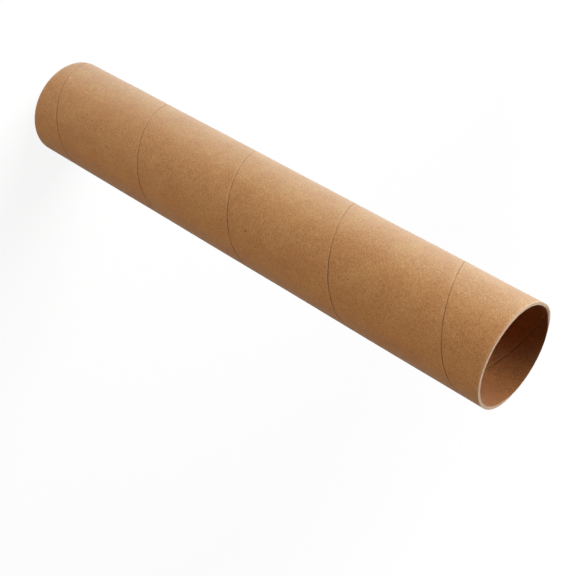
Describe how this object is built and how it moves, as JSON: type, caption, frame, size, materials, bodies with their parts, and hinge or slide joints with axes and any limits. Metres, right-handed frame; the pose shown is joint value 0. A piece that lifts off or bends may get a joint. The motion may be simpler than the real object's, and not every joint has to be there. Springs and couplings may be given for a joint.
{
  "type": "kraft paper tube",
  "caption": "Open-ended kraft paper tube with a thin spiral-wound wall, helical seams outside and inside, and square-cut ends.",
  "frame": {"origin": "centre of the bottom cut end, on the tube's axis", "axes": "+Z along the tube's axis towards the open end shown nearest in the picture; +X and +Y are fixed only by where the seams leave the ends"},
  "size_m": [0.054, 0.054, 0.305],
  "materials": {
    "kraft_board": "matt, uncoated"
  },
  "bodies": {
    "root": {"paper_tube": "kraft_board"}
  },
  "joints": []
}
